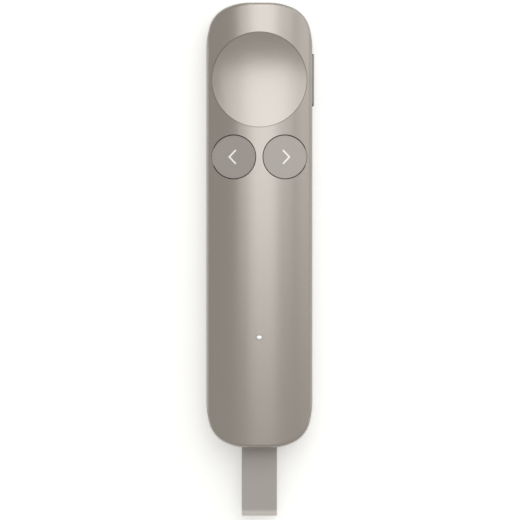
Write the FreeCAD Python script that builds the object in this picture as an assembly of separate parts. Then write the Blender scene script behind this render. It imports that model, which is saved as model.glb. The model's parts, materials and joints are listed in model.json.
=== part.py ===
import FreeCAD, Part
import math
import os

# A slim presentation remote that lies on its back.
# Millimetres. X is its width, Y its length towards the nose, Z up through its face.
# The origin is the middle of the flat land on its back, under the middle of the body.

# Body form
BODY_LENGTH = 131.3
BODY_WIDTH = 31.3
BODY_HEIGHT = 14.0
WALL = 1.3
CROWN_FALL_SHARE = 0.2321
FRONT_SHOULDER_RADIUS = 3.2
BACK_LAND_SHARE = 0.3514
BACK_ARC_SHARE = 1.278
BACK_SHOULDER_RADIUS = 4.0
SIDE_TRIM = 0.25
RIM_RADIUS = 1.0

# Plan outline of each end: radii as shares of half the body's width, and where its arcs meet
END_FLAT_SHARE = 0.2
END_ARC_SHARE = 1.053
CORNER_ARC_SHARE = 0.56
END_TURN_DEGREES = 24.5
SIDE_TURN_DEGREES = 74.5

# Joint between the two shells
LIP_HEIGHT = 1.0
LIP_ROOT = 1.2
LIP_THICKNESS = 0.7
LIP_CLEARANCE = 0.05
SEAM_HEIGHT = 0.2
SEAM_DEPTH = 0.3
LIP_END_SHARE = 0.9
BEAD_HEIGHT = 0.3
BEAD_CLEARANCE = 0.06
BEAD_LENGTH = 6.0
BEAD_SPACING_SHARE = 0.38

# Clearances: a seat, a sliding fit, a loose gap, and how far a cutter runs past what it cuts
SEAT = 0.01
FIT = 0.05
LOOSE = 0.15
OVERRUN = 1.0

# Pointer button, a large round scooped cap
DISH_FROM_SIDE = 1.6
DISH_FROM_NOSE = 8.6
DISH_GAP = 0.06
DISH_SCOOP = 1.6
DISH_SKIN = 0.9
DISH_WALL = 1.0
DISH_TRAVEL = 0.5
DISH_LUG_WIDTH = 8.0

# The two small round keys
KEYS_FROM_SIDE = 1.71
KEYS_APART = 2.28
KEYS_FROM_DISH = 2.4
KEY_GAP = 0.22
KEY_LIFT = 0.1
KEY_SKIN = 0.9
KEY_WALL = 0.8
KEY_TRAVEL = 0.4
KEY_LUG_WIDTH = 5.0
CAP_EDGE = 0.06

# The collars that guide the caps, and the carriers under the caps
COLLAR_DEPTH_SHARE = 0.3571
COLLAR_THICKNESS = 0.9
PLATE_THICKNESS = 0.8
LUG_REACH = 0.8
NUB_WIDTH_SHARE = 0.75
CARRIER_RIB = 1.2
SWITCH_WELL_MARGIN = 0.6

# Chevrons let into the small keys
CHEVRON_HEIGHT = 4.4
CHEVRON_STROKE = 0.5
CHEVRON_ARM_DEGREES = 46.5
CHEVRON_OFFSET = 0.45
CHEVRON_DEPTH = 0.25

# Side button
SIDE_LENGTH = 15.6
SIDE_HEIGHT = 2.2
SIDE_PROUD = 0.5
SIDE_FLANGE_THICKNESS = 0.9
SIDE_FLANGE_REACH = 0.5
SIDE_NUB_MARGIN = 0.5
SIDE_TRAVEL = 0.4
SIDE_EDGE = 0.25
SIDE_NOTCH_MARGIN = 0.8

# Circuit board and the frame under it
BOARD_UNDER_CAPS = 0.25
BOARD_THICKNESS = 0.8
FRAME_THICKNESS = 1.0
FRAME_GAP = 0.15
FRAME_RAIL = 2.6
BOARD_OVERHANG = 0.15

# Screws and the posts that they go into
POST_RADIUS = 1.9
POST_ACROSS_SHARE = 0.607
NOSE_POST_SHARE = 0.46
TAIL_POSTS_FROM_TAIL = 25.0
REST_FROM_KEYS = 12.6
REST_LENGTH = 4.0
SCREW_RADIUS = 0.8
SCREW_CLEARANCE = 0.03
SCREW_BITE = 2.6
SCREW_TIP_GAP = 0.3
SCREW_HEAD_RADIUS = 1.4
SCREW_HEAD_HEIGHT = 0.7
SCREW_CROSS_LENGTH = 1.5
SCREW_CROSS_WIDTH = 0.4
SCREW_CROSS_DEPTH = 0.4

# Snap switches under the buttons
SWITCH_SIDE = 5.0
SWITCH_HEIGHT = 0.55
SWITCH_FLOOR = 0.1
DOME_RADIUS = 2.0
DOME_WIDTH_SHARE = 0.6
DOME_SPARE = 0.04
DOME_SHEET = 0.1
DOME_GAP = 0.03
SIDE_SWITCH_DEPTH = 3.0
SIDE_DOME_RADIUS = 1.3

# Status light
LIGHT_LENGTH = 2.0
LIGHT_WIDTH = 1.05
LIGHT_FROM_TAIL = 32.65
LIGHT_FLANGE_THICKNESS = 0.6
LIGHT_FLANGE_REACH = 0.7
LIGHT_GAP = 0.2
LED_LENGTH = 1.6
LED_WIDTH = 0.8
LED_HEIGHT = 0.6

# Laser and its window in the nose
WINDOW_RADIUS = 2.2
WINDOW_RECESS = 0.2
WINDOW_FLANGE_THICKNESS = 0.7
WINDOW_FLANGE_REACH = 0.6
LASER_RADIUS = 2.1
LASER_LENGTH = 10.0
LASER_GAP = 0.3
LENS_RADIUS = 1.3
LENS_SEAT_DEPTH = 1.2
LENS_THICKNESS = 0.9
DRIVER_THICKNESS = 0.8
DRIVER_HEIGHT = 3.2
SADDLE_LENGTH = 5.0
SADDLE_WALL = 1.0
SADDLE_DROP = 0.5

# Vibration motor
MOTOR_RADIUS_SHARE = 0.4186
MOTOR_LENGTH = 8.0
MOTOR_FROM_KEYS = 0.85
MOTOR_SHAFT_RADIUS = 0.4
MOTOR_SHAFT_GAP = 0.04
MOTOR_SHAFT_SEAT = 2.0
MOTOR_SHAFT_OUT = 4.2
WEIGHT_INSET = 0.1
WEIGHT_HUB_RADIUS = 0.8
WEIGHT_LENGTH = 3.0
WEIGHT_GAP = 0.6

# Battery
BATTERY_FROM_SIDE = 7.85
BATTERY_EDGE_SHARE = 0.23
BATTERY_FROM_MOTOR = 8.0
BATTERY_FROM_PLUG = 4.4
TAPE_THICKNESS = 0.2
TAPE_MARGIN = 1.5
FOAM_THICKNESS = 0.6
FOAM_FROM_ENDS = 7.0
FOAM_FROM_LAND = 1.0
LEAD_RADIUS = 0.35
LEAD_SPACING = 1.6
PLUG_FROM_PORT = 7.8
PLUG_LENGTH = 2.2
PLUG_WIDTH = 4.6
PLUG_HEIGHT = 2.2

# Parts on the board
SHIELD_LENGTH_SHARE = 0.41
SHIELD_WIDTH = 12.0
SHIELD_HEIGHT = 1.5
SHIELD_SHEET = 0.2
SHIELD_FROM_KEYS = 16.5
CHIP_SIDE = 4.0
CHIP_HEIGHT = 0.8
SMALL_CHIP_SIDE = 2.5
SMALL_CHIP_HEIGHT = 0.7
CHIP_SPACING = 6.5
ANTENNA_LENGTH = 7.0
ANTENNA_WIDTH = 2.0
ANTENNA_HEIGHT = 1.1
ANTENNA_FROM_EDGE = 2.5

# Charging port, to the common small reversible connector
PORT_WIDTH = 8.94
PORT_HEIGHT = 3.16
PORT_LENGTH = 7.35
PORT_SHEET = 0.3
PORT_BACK = 0.9
TONGUE_WIDTH = 6.69
TONGUE_HEIGHT = 0.7
TONGUE_LENGTH = 4.4

# Receiver that parks in the tail
RECEIVER_WIDTH = 12.2
RECEIVER_HEIGHT_SHARE = 0.3857
RECEIVER_LENGTH = 14.6
RECEIVER_CORNER = 1.5
RECEIVER_WALL = 0.8
DOCK_GAP = 0.15
DOCK_WALL = 0.8
DOCK_RECESS = 0.15
PLUG_SHELL_WIDTH = 8.25
PLUG_SHELL_HEIGHT = 2.4
PLUG_SHELL_LENGTH = 6.65
PLUG_SHELL_SHEET = 0.3
PLUG_ROOT = 2.5
PLUG_MOUTH_GAP = 0.5
INSERT_WALL = 0.35
INSERT_BACK = 1.4
RECEIVER_BOARD_THICKNESS = 0.8
RECEIVER_BOARD_WIDTH = 9.6
TAIL_CAP_LENGTH = 5.2
TAIL_SPIGOT = 1.2
TAIL_SPIGOT_WALL = 0.8
TAIL_LIP_WIDTH = 9.8
TAIL_LIP_PROUD = 0.4
TAIL_LIP_THICKNESS = 0.45

# Strap loop, a rubber band folded round a pin, and that pin
STRAP_WIDTH = 10.4
STRAP_THICKNESS = 1.1
STRAP_LENGTH = 20.4
STRAP_TIP_RADIUS = 1.9
STRAP_GAP = 0.1
STRAP_SLOT_SIDE = 0.12
PIN_RADIUS = 0.6
PIN_INSET = 2.3
PIN_SEAT = 0.5

# How closely a direction has to agree
DIRECTION_TOLERANCE = 1e-6

# Places worked out from the sizes above
HALF_LENGTH = BODY_LENGTH / 2
HALF_WIDTH = BODY_WIDTH / 2
WIDEST = HALF_WIDTH + SIDE_TRIM
DISH_RADIUS = HALF_WIDTH - DISH_FROM_SIDE
CROWN_FALL = CROWN_FALL_SHARE * BODY_HEIGHT
CROWN_RADIUS = (DISH_RADIUS ** 2 + CROWN_FALL ** 2) / (2 * CROWN_FALL)
BACK_LAND = BACK_LAND_SHARE * HALF_WIDTH
BACK_ARC_RADIUS = BACK_ARC_SHARE * HALF_WIDTH
DISH_Y = HALF_LENGTH - DISH_FROM_NOSE - DISH_RADIUS
KEY_RADIUS = (HALF_WIDTH - KEYS_FROM_SIDE - KEYS_APART / 2) / 2
KEY_X = KEYS_APART / 2 + KEY_RADIUS
KEY_Y = DISH_Y - DISH_RADIUS - KEYS_FROM_DISH - KEY_RADIUS
LIGHT_Y = LIGHT_FROM_TAIL - HALF_LENGTH
DISH_HOLE = DISH_RADIUS + DISH_GAP
KEY_HOLE = KEY_RADIUS + KEY_GAP
COLLAR_Z = BODY_HEIGHT * (1 - COLLAR_DEPTH_SHARE)
PLATE_TOP = COLLAR_Z - FIT
PLATE_BOTTOM = PLATE_TOP - PLATE_THICKNESS
BOARD_TOP = PLATE_BOTTOM - DISH_TRAVEL - BOARD_UNDER_CAPS
BOARD_BOTTOM = BOARD_TOP - BOARD_THICKNESS
FRAME_BOTTOM = BOARD_BOTTOM - FRAME_THICKNESS
BOARD_INSET = WALL + LIP_CLEARANCE + LIP_THICKNESS + FRAME_GAP
DOME_RISE = DISH_TRAVEL + DOME_SPARE
NUB_Z = BOARD_TOP + SWITCH_FLOOR + DOME_RISE + DOME_GAP
SIDE_Z = PLATE_BOTTOM - DISH_TRAVEL - LOOSE - SIDE_FLANGE_REACH - SIDE_HEIGHT / 2
SIDE_FACE = HALF_WIDTH - WALL - FIT
SIDE_CARRIER_FACE = SIDE_FACE - SIDE_FLANGE_THICKNESS
SIDE_NUB_X = SIDE_CARRIER_FACE - SIDE_TRAVEL - SIDE_NUB_MARGIN
SIDE_SWITCH_X = SIDE_NUB_X - DOME_GAP - DOME_RISE - SWITCH_FLOOR
SIDE_NOTCH = SIDE_LENGTH / 2 + SIDE_FLANGE_REACH + SIDE_NOTCH_MARGIN
LASER_Z = PLATE_BOTTOM - DISH_TRAVEL - LOOSE - LASER_RADIUS - LOOSE
WINDOW_BACK = HALF_LENGTH - WALL - FIT - WINDOW_FLANGE_THICKNESS
LASER_FRONT = WINDOW_BACK - LASER_GAP
LASER_BACK = LASER_FRONT - LASER_LENGTH
LASER_NOTCH = LASER_RADIUS + LOOSE
MOTOR_Y = KEY_Y + MOTOR_FROM_KEYS
MOTOR_RADIUS = MOTOR_RADIUS_SHARE * (FRAME_BOTTOM - WALL)
MOTOR_Z = FRAME_BOTTOM - LOOSE - MOTOR_RADIUS
WEIGHT_RADIUS = MOTOR_RADIUS - WEIGHT_INSET
MOTOR_START = -(MOTOR_LENGTH + MOTOR_SHAFT_OUT) / 2
MOTOR_END = MOTOR_START + MOTOR_LENGTH
RECEIVER_FRONT = RECEIVER_LENGTH - HALF_LENGTH
RECEIVER_HEIGHT = RECEIVER_HEIGHT_SHARE * BODY_HEIGHT
PORT_Z = BOARD_BOTTOM - PORT_HEIGHT / 2
PORT_MOUTH = RECEIVER_FRONT + PLUG_MOUTH_GAP
PORT_END = PORT_MOUTH + PORT_LENGTH
PLUG_Y = PORT_END + PLUG_FROM_PORT
BATTERY_HALF_WIDTH = HALF_WIDTH - BATTERY_FROM_SIDE
BATTERY_NOSE_END = MOTOR_Y - BATTERY_FROM_MOTOR
BATTERY_TAIL_END = PLUG_Y + BATTERY_FROM_PLUG
BATTERY_TOP = FRAME_BOTTOM - TAPE_THICKNESS
BATTERY_BOTTOM = WALL + FOAM_THICKNESS
BATTERY_EDGE = BATTERY_EDGE_SHARE * (BATTERY_TOP - BATTERY_BOTTOM)
SHIELD_NOSE_END = KEY_Y - SHIELD_FROM_KEYS
SHIELD_LENGTH = SHIELD_LENGTH_SHARE * (SHIELD_NOSE_END - LIGHT_Y)
SHIELD_TAIL_END = SHIELD_NOSE_END - SHIELD_LENGTH
BOARD_TAIL = PORT_MOUTH + BOARD_OVERHANG
TAIL_CAP_FRONT = TAIL_CAP_LENGTH - HALF_LENGTH
PIN_Y = PIN_INSET - HALF_LENGTH
STRAP_EYE = PIN_RADIUS + STRAP_GAP + STRAP_THICKNESS


def vector(x, y, z):
    return FreeCAD.Vector(x, y, z)


def box(x0, x1, y0, y1, z0, z1):
    return Part.makeBox(x1 - x0, y1 - y0, z1 - z0, vector(x0, y0, z0))


def upright(x, y, radius, z0, z1):
    return Part.makeCylinder(radius, z1 - z0, vector(x, y, z0))


def rod_along_y(x, z, radius, y0, y1):
    return Part.makeCylinder(radius, y1 - y0, vector(x, y0, z), vector(0, 1, 0))


def rod_along_x(y, z, radius, x0, x1):
    return Part.makeCylinder(radius, x1 - x0, vector(x0, y, z), vector(1, 0, 0))


def mirrored(shape):
    return shape.mirror(vector(0, 0, 0), vector(1, 0, 0))


def clean(shape):
    """One closed solid, or a compound of the solids that a boolean left."""
    found = shape.removeSplitter().Solids
    return found[0] if len(found) == 1 else Part.makeCompound(found)


def joined(shapes):
    return clean(shapes[0].fuse(shapes[1:]))


def pill_along_x(x0, x1, y, z, length, height):
    """A bar along X whose section is a pill with its length along Y."""
    r = height / 2
    reach = length / 2 - r
    ends = [rod_along_x(y + side * reach, z, r, x0, x1) for side in (-1, 1)]
    return joined([box(x0, x1, y - reach, y + reach, z - r, z + r)] + ends)


def pill_along_y(y0, y1, z, width, height):
    """A bar along Y whose section is a pill with its length along X, centred on X."""
    r = height / 2
    reach = width / 2 - r
    ends = [rod_along_y(side * reach, z, r, y0, y1) for side in (-1, 1)]
    return joined([box(-reach, reach, y0, y1, z - r, z + r)] + ends)


def pill_along_z(y, z0, z1, length, width):
    """A bar along Z whose section is a pill with its length along X, centred on X."""
    r = width / 2
    reach = length / 2 - r
    ends = [upright(side * reach, y, r, z0, z1) for side in (-1, 1)]
    return joined([box(-reach, reach, y - r, y + r, z0, z1)] + ends)


def edges_along(shape, direction):
    found = []
    for edge in shape.Edges:
        straight = edge.Curve.TypeId == "Part::GeomLine"
        if straight and 1 - abs(edge.Curve.Direction.dot(direction)) < DIRECTION_TOLERANCE:
            found.append(edge)
    return found


def rounded_bar(y0, y1, z, width, height, corner):
    """A bar along Y whose section is a rectangle with round corners, centred on X."""
    bar = box(-width / 2, width / 2, y0, y1, z - height / 2, z + height / 2)
    return bar.makeFillet(corner, edges_along(bar, vector(0, 1, 0)))


def arc_edge(centre_u, centre_v, radius, start, end, place):
    """A circular edge between two angles in radians, put in space by place(u, v)."""
    points = []
    for angle in (start, (start + end) / 2, end):
        points.append(place(centre_u + radius * math.cos(angle), centre_v + radius * math.sin(angle)))
    return Part.Arc(*points).toShape()


def end_arcs():
    """Centre, radius and turns of each arc from an end's flat round to a long side."""
    turns = [0, math.radians(END_TURN_DEGREES), math.radians(SIDE_TURN_DEGREES), math.pi / 2]
    flat = END_FLAT_SHARE * HALF_WIDTH
    radii = [END_ARC_SHARE * HALF_WIDTH, CORNER_ARC_SHARE * HALF_WIDTH]
    reach = flat
    for i, radius in enumerate(radii):
        reach += radius * (math.sin(turns[i + 1]) - math.sin(turns[i]))
    radii.append((HALF_WIDTH - reach) / (1 - math.sin(turns[2])))
    x, y = flat, HALF_LENGTH - radii[0]
    arcs = [(x, y, radii[0], turns[0], turns[1])]
    for i in (1, 2):
        step = radii[i - 1] - radii[i]
        x += step * math.sin(turns[i])
        y += step * math.cos(turns[i])
        arcs.append((x, y, radii[i], turns[i], turns[i + 1]))
    return arcs


def plan_wire(inset):
    """The body's outline seen from the front, drawn in by inset."""
    arcs = end_arcs()
    edges = []
    for sx, sy in ((1, 1), (1, -1), (-1, -1), (-1, 1)):
        def place(u, v):
            return vector(sx * u, sy * v, 0)
        for x, y, radius, a, b in arcs:
            edges.append(arc_edge(x, y, radius - inset, math.pi / 2 - a, math.pi / 2 - b, place))
    flat = arcs[0][0]
    straight = arcs[-1][1]
    for sign in (1, -1):
        end = sign * (HALF_LENGTH - inset)
        side = sign * (HALF_WIDTH - inset)
        edges.append(Part.makeLine(vector(-flat, end, 0), vector(flat, end, 0)))
        edges.append(Part.makeLine(vector(side, -straight, 0), vector(side, straight, 0)))
    return Part.Wire(Part.__sortEdges__(edges))


def plan_prism(inset, z0, z1):
    face = Part.Face(plan_wire(inset))
    face.translate(vector(0, 0, z0))
    return face.extrude(vector(0, 0, z1 - z0))


def front_arcs():
    """Turn where the crown meets the shoulder, and the height of the shoulder's centre."""
    step = CROWN_RADIUS - FRONT_SHOULDER_RADIUS
    turn = math.asin((WIDEST - FRONT_SHOULDER_RADIUS) / step)
    return turn, BODY_HEIGHT - CROWN_RADIUS + step * math.cos(turn)


def back_arcs():
    """Turn where the back's arc meets the shoulder, and the height of the shoulder's centre."""
    step = BACK_ARC_RADIUS - BACK_SHOULDER_RADIUS
    turn = math.asin((WIDEST - BACK_SHOULDER_RADIUS - BACK_LAND) / step)
    return turn, BACK_ARC_RADIUS - step * math.cos(turn)


def crown_height(x):
    """Height of the body's front face at a distance x from its middle line."""
    turn, shoulder_z = front_arcs()
    across = abs(x)
    if across <= CROWN_RADIUS * math.sin(turn):
        return BODY_HEIGHT - CROWN_RADIUS + math.sqrt(CROWN_RADIUS ** 2 - across ** 2)
    across -= WIDEST - FRONT_SHOULDER_RADIUS
    return shoulder_z + math.sqrt(FRONT_SHOULDER_RADIUS ** 2 - across ** 2)


def split_height():
    """The shells part half way up the flat band along the body's sides."""
    front_z = front_arcs()[1]
    back_z = back_arcs()[1]
    front_across = FRONT_SHOULDER_RADIUS - SIDE_TRIM
    back_across = BACK_SHOULDER_RADIUS - SIDE_TRIM
    band_top = front_z + math.sqrt(FRONT_SHOULDER_RADIUS ** 2 - front_across ** 2)
    band_bottom = back_z - math.sqrt(BACK_SHOULDER_RADIUS ** 2 - back_across ** 2)
    return (band_top + band_bottom) / 2


SPLIT_Z = split_height()


def section_prism(inset):
    """The cross-section, drawn in by inset, run past both ends of the body."""
    front_turn, front_z = front_arcs()
    back_turn, back_z = back_arcs()
    front_x = WIDEST - FRONT_SHOULDER_RADIUS
    back_x = WIDEST - BACK_SHOULDER_RADIUS
    start = -HALF_LENGTH - OVERRUN
    quarter = math.pi / 2
    edges = []
    for sign in (1, -1):
        def place(u, v):
            return vector(sign * u, start, v)
        shoulder = FRONT_SHOULDER_RADIUS - inset
        edges.append(arc_edge(front_x, front_z, shoulder, quarter - front_turn, 0, place))
        edges.append(Part.makeLine(place(WIDEST - inset, front_z), place(WIDEST - inset, back_z)))
        shoulder = BACK_SHOULDER_RADIUS - inset
        edges.append(arc_edge(back_x, back_z, shoulder, 0, back_turn - quarter, place))
        radius = BACK_ARC_RADIUS - inset
        edges.append(arc_edge(BACK_LAND, BACK_ARC_RADIUS, radius, back_turn - quarter, -quarter, place))

    def centred(u, v):
        return vector(u, start, v)
    crown_z = BODY_HEIGHT - CROWN_RADIUS
    radius = CROWN_RADIUS - inset
    edges.append(arc_edge(0, crown_z, radius, quarter + front_turn, quarter - front_turn, centred))
    edges.append(Part.makeLine(centred(-BACK_LAND, inset), centred(BACK_LAND, inset)))
    face = Part.Face(Part.Wire(Part.__sortEdges__(edges)))
    return face.extrude(vector(0, BODY_LENGTH + 2 * OVERRUN, 0))


def inner_form(inset):
    """The outer form drawn in by inset, with its rims left sharp."""
    plan = plan_prism(inset, -OVERRUN, BODY_HEIGHT + OVERRUN)
    return clean(section_prism(inset).common(plan))


def rim_edges(blank):
    """The edges where the plan outline cuts the front and the back face."""
    wall = plan_wire(0)
    found = []
    for edge in blank.Edges:
        middle = edge.valueAt((edge.FirstParameter + edge.LastParameter) / 2)
        ends = [v.Point.z for v in edge.Vertexes]
        is_upright = middle.x and abs(ends[0] - ends[-1]) > edge.Length - FIT
        foot = Part.Vertex(vector(middle.x, middle.y, 0))
        if not is_upright and wall.distToShape(foot)[0] < SEAT:
            found.append(edge)
    return found


def body_form():
    """The whole outer form, with its rims rounded."""
    blank = inner_form(0)
    return blank.makeFillet(RIM_RADIUS, rim_edges(blank))


def dish_face():
    """The pointer button's saddle: hollow along the body, crowned across it and flush with it at the rim."""
    side = DISH_RADIUS + LOOSE
    share = (side / DISH_RADIUS) ** 2
    low_point = BODY_HEIGHT - DISH_SCOOP
    fall = share * (low_point - crown_height(DISH_RADIUS))
    rise = share * DISH_SCOOP
    bend = (1, -1, 1)
    face = Part.BezierSurface()
    face.increase(2, 2)
    for i, across in enumerate(bend):
        for j, along in enumerate(bend):
            height = low_point - across * fall + along * rise
            face.setPole(i + 1, j + 1, vector((i - 1) * side, DISH_Y + (j - 1) * side, height))
    return face.toShape()


def dish_block():
    """The pointer button's round block under its face."""
    above = dish_face().extrude(vector(0, 0, BODY_HEIGHT))
    return clean(upright(0, DISH_Y, DISH_RADIUS, PLATE_TOP, BODY_HEIGHT + OVERRUN).cut(above))


def dish_ceiling(x):
    """The flat ceiling of the pointer button's pocket."""
    return crown_height(DISH_RADIUS) - DISH_SKIN


def key_face(x):
    """A small key's flat face, which spans the crown's fall under it."""
    inner = crown_height(KEY_X - KEY_RADIUS)
    outer = crown_height(KEY_X + KEY_RADIUS)
    return inner + (outer - inner) * (x - KEY_X + KEY_RADIUS) / (2 * KEY_RADIUS) + KEY_LIFT


def key_ceiling(x):
    """The ceiling of a small key's pocket, parallel to the key's face."""
    return key_face(x) - KEY_SKIN


def under_ceiling(x, y, radius, z0, ceiling):
    """A round plug from a level z0 up to a plane z = ceiling(x)."""
    low, high = x - radius - LOOSE, x + radius + LOOSE
    start = y - radius - LOOSE
    corners = [vector(low, start, z0), vector(high, start, z0), vector(high, start, ceiling(high)),
               vector(low, start, ceiling(low)), vector(low, start, z0)]
    room = Part.Face(Part.makePolygon(corners)).extrude(vector(0, 2 * (radius + LOOSE), 0))
    return upright(x, y, radius, z0, BODY_HEIGHT + OVERRUN).common(room)


def rim_of(cap, x, y, radius):
    """The edges round the top of a cap's side wall."""
    found = []
    for edge in cap.Edges:
        middle = edge.valueAt((edge.FirstParameter + edge.LastParameter) / 2)
        on_wall = abs(math.hypot(middle.x - x, middle.y - y) - radius) < SEAT
        is_seam = edge.Curve.TypeId == "Part::GeomLine"
        if on_wall and middle.z > PLATE_TOP + SEAT and not is_seam:
            found.append(edge)
    return found


def cap_solid(block, x, y, radius, wall, ceiling):
    """A cap: its round block with the rim broken, and a pocket under it."""
    block = block.makeChamfer(CAP_EDGE, rim_of(block, x, y, radius))
    return clean(block.cut(under_ceiling(x, y, radius - wall, PLATE_TOP - OVERRUN, ceiling)))


def carrier_boss(x, y, radius, ceiling):
    """The crossed ribs that span a cap's pocket up to its ceiling."""
    half = CARRIER_RIB / 2
    ribs = [
        box(x - radius, x + radius, y - half, y + half, PLATE_BOTTOM, BODY_HEIGHT),
        box(x - half, x + half, y - radius, y + radius, PLATE_BOTTOM, BODY_HEIGHT),
    ]
    plug = under_ceiling(x, y, radius, PLATE_TOP - SEAT, lambda across: ceiling(across) - FIT)
    return plug.common(joined(ribs))


def nub_half(dome_radius):
    """Half the side of the square nub that presses a dome, a little narrower than the dome."""
    return NUB_WIDTH_SHARE * DOME_WIDTH_SHARE * dome_radius


def carrier_solid(x, y, cap_radius, cap_wall, ceiling, lug_width):
    """The moulding under a cap: a plate with two lugs, crossed ribs and a nub for the switch."""
    boss = carrier_boss(x, y, cap_radius - cap_wall - FIT, ceiling)
    plate = upright(x, y, cap_radius, PLATE_BOTTOM, PLATE_TOP)
    reach = cap_radius + LUG_REACH
    half = lug_width / 2
    lugs = upright(x, y, reach, PLATE_BOTTOM, PLATE_TOP)
    lugs = lugs.common(box(x - half, x + half, y - reach, y + reach, PLATE_BOTTOM, PLATE_TOP))
    side = SWITCH_SIDE / 2 + SWITCH_WELL_MARGIN
    well_top = PLATE_TOP - PLATE_THICKNESS / 2
    well = box(x - side, x + side, y - side, y + side, PLATE_BOTTOM - OVERRUN, well_top)
    half = nub_half(DOME_RADIUS)
    nub = box(x - half, x + half, y - half, y + half, NUB_Z, well_top + SEAT)
    return joined([joined([plate, lugs, boss]).cut(well), nub])


def chevron_prism():
    """The next key's mark, an arrow head that points along +X, as a prism through the key."""
    angle = math.radians(CHEVRON_ARM_DEGREES)
    arm = CHEVRON_HEIGHT / 2 / math.sin(angle)
    along = vector(-math.cos(angle), math.sin(angle), 0)
    inward = vector(-math.sin(angle), -math.cos(angle), 0) * CHEVRON_STROKE
    width = arm * math.cos(angle) + CHEVRON_STROKE * math.sin(angle)
    apex = vector(KEY_X + CHEVRON_OFFSET + width / 2, KEY_Y, 0)
    outer_end = apex + along * arm
    inner_end = outer_end + inward
    notch = apex + vector(-CHEVRON_STROKE / math.sin(angle), 0, 0)
    upper = [apex, outer_end, inner_end, notch]
    lower = [vector(p.x, 2 * KEY_Y - p.y, 0) for p in upper[1:3]]
    corners = upper + [lower[1], lower[0], apex]
    return Part.Face(Part.makePolygon(corners)).extrude(vector(0, 0, BODY_HEIGHT + OVERRUN))


def key_cap_and_mark():
    """The right-hand key's cap with a pocket for its mark, and the mark that fills it."""
    block = under_ceiling(KEY_X, KEY_Y, KEY_RADIUS, PLATE_TOP, key_face)
    cap = cap_solid(block, KEY_X, KEY_Y, KEY_RADIUS, KEY_WALL, key_ceiling)
    below = under_ceiling(KEY_X, KEY_Y, KEY_RADIUS, -OVERRUN, lambda across: key_face(across) - CHEVRON_DEPTH)
    inlay_room = chevron_prism().cut(below)
    mark = cap.common(inlay_room)
    return clean(cap.cut(inlay_room)), clean(mark)


def switch_base():
    """A square switch body at the origin, with a well for its dome, facing +Z."""
    side = SWITCH_SIDE / 2
    base = box(-side, side, -side, side, 0, SWITCH_HEIGHT)
    half_x, half_y = DOME_RADIUS + FIT, DOME_WIDTH_SHARE * DOME_RADIUS + FIT
    return base.cut(box(-half_x, half_x, -half_y, half_y, SWITCH_FLOOR, SWITCH_HEIGHT + OVERRUN))


def dome_sheet(radius):
    """A snap dome with straight sides, an arched strip of thin sheet on z = SWITCH_FLOOR, facing +Z."""
    ball = (radius ** 2 + DOME_RISE ** 2) / (2 * DOME_RISE)
    centre = SWITCH_FLOOR + DOME_RISE - ball
    half = DOME_WIDTH_SHARE * radius
    arch = rod_along_y(0, centre, ball, -half, half)
    arch = arch.cut(rod_along_y(0, centre, ball - DOME_SHEET, -half, half))
    return arch.common(box(-radius, radius, -half, half, SWITCH_FLOOR, SWITCH_FLOOR + DOME_RISE))


def side_switch_base():
    """The narrow side switch, facing +X, standing on the frame's upright tab."""
    half_y, half_z = SWITCH_SIDE / 2, SIDE_SWITCH_DEPTH / 2
    outer = SIDE_SWITCH_X + SWITCH_HEIGHT
    base = box(SIDE_SWITCH_X, outer, DISH_Y - half_y, DISH_Y + half_y, SIDE_Z - half_z, SIDE_Z + half_z)
    half_y, half_z = DOME_WIDTH_SHARE * SIDE_DOME_RADIUS + FIT, SIDE_DOME_RADIUS + FIT
    floor = SIDE_SWITCH_X + SWITCH_FLOOR
    well = box(floor, outer + OVERRUN, DISH_Y - half_y, DISH_Y + half_y, SIDE_Z - half_z, SIDE_Z + half_z)
    return base.cut(well)


def facing_x(shape, x, y, z):
    """A shape that faces +Z at the origin, turned to face +X at a place."""
    turned = shape.copy()
    turned.rotate(vector(0, 0, 0), vector(0, 1, 0), 90)
    turned.translate(vector(x, y, z))
    return turned


def moved(shape, x, y, z):
    there = shape.copy()
    there.translate(vector(x, y, z))
    return there


def post_places():
    across = POST_ACROSS_SHARE * HALF_WIDTH
    nose = HALF_LENGTH - NOSE_POST_SHARE * HALF_WIDTH
    tail = TAIL_POSTS_FROM_TAIL - HALF_LENGTH
    return [(side * across, y) for y in (nose, tail) for side in (-1, 1)]


def dock_bar(grow, y0, y1):
    """The receiver's bay, grown all round, along Y."""
    width = RECEIVER_WIDTH + 2 * grow
    height = RECEIVER_HEIGHT + 2 * grow
    return rounded_bar(y0, y1, PORT_Z, width, height, RECEIVER_CORNER + grow)


def side_opening():
    """The side button's slot through the right-hand wall."""
    return pill_along_x(SIDE_FACE - WALL, WIDEST + OVERRUN, DISH_Y, SIDE_Z,
                        SIDE_LENGTH + 2 * LOOSE, SIDE_HEIGHT + 2 * LOOSE)


def side_room():
    """The room that the side button's flange moves in, inside the right-hand wall."""
    grow = 2 * (SIDE_FLANGE_REACH + FIT)
    return pill_along_x(SIDE_SWITCH_X, SIDE_FACE, DISH_Y, SIDE_Z, SIDE_LENGTH + grow, SIDE_HEIGHT + grow)


def shared_openings():
    """What is cut through both shells, across the line where they meet."""
    tail_start = -HALF_LENGTH - OVERRUN
    dock = dock_bar(DOCK_GAP + DOCK_WALL + FIT, tail_start, RECEIVER_FRONT + WALL)
    window = rod_along_y(0, LASER_Z, WINDOW_RADIUS + FIT, WINDOW_BACK, HALF_LENGTH + OVERRUN)
    flange = rod_along_y(0, LASER_Z, WINDOW_RADIUS + WINDOW_FLANGE_REACH + FIT, WINDOW_BACK - FIT,
                         WINDOW_BACK + WINDOW_FLANGE_THICKNESS)
    return [dock, window, flange, side_opening(), side_room()]


def cap_opening(x, y, radius, travel):
    """A cap's hole through the front shell, and the room that its plate moves in."""
    return upright(x, y, radius, PLATE_BOTTOM - travel - LOOSE, BODY_HEIGHT + OVERRUN)


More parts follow.
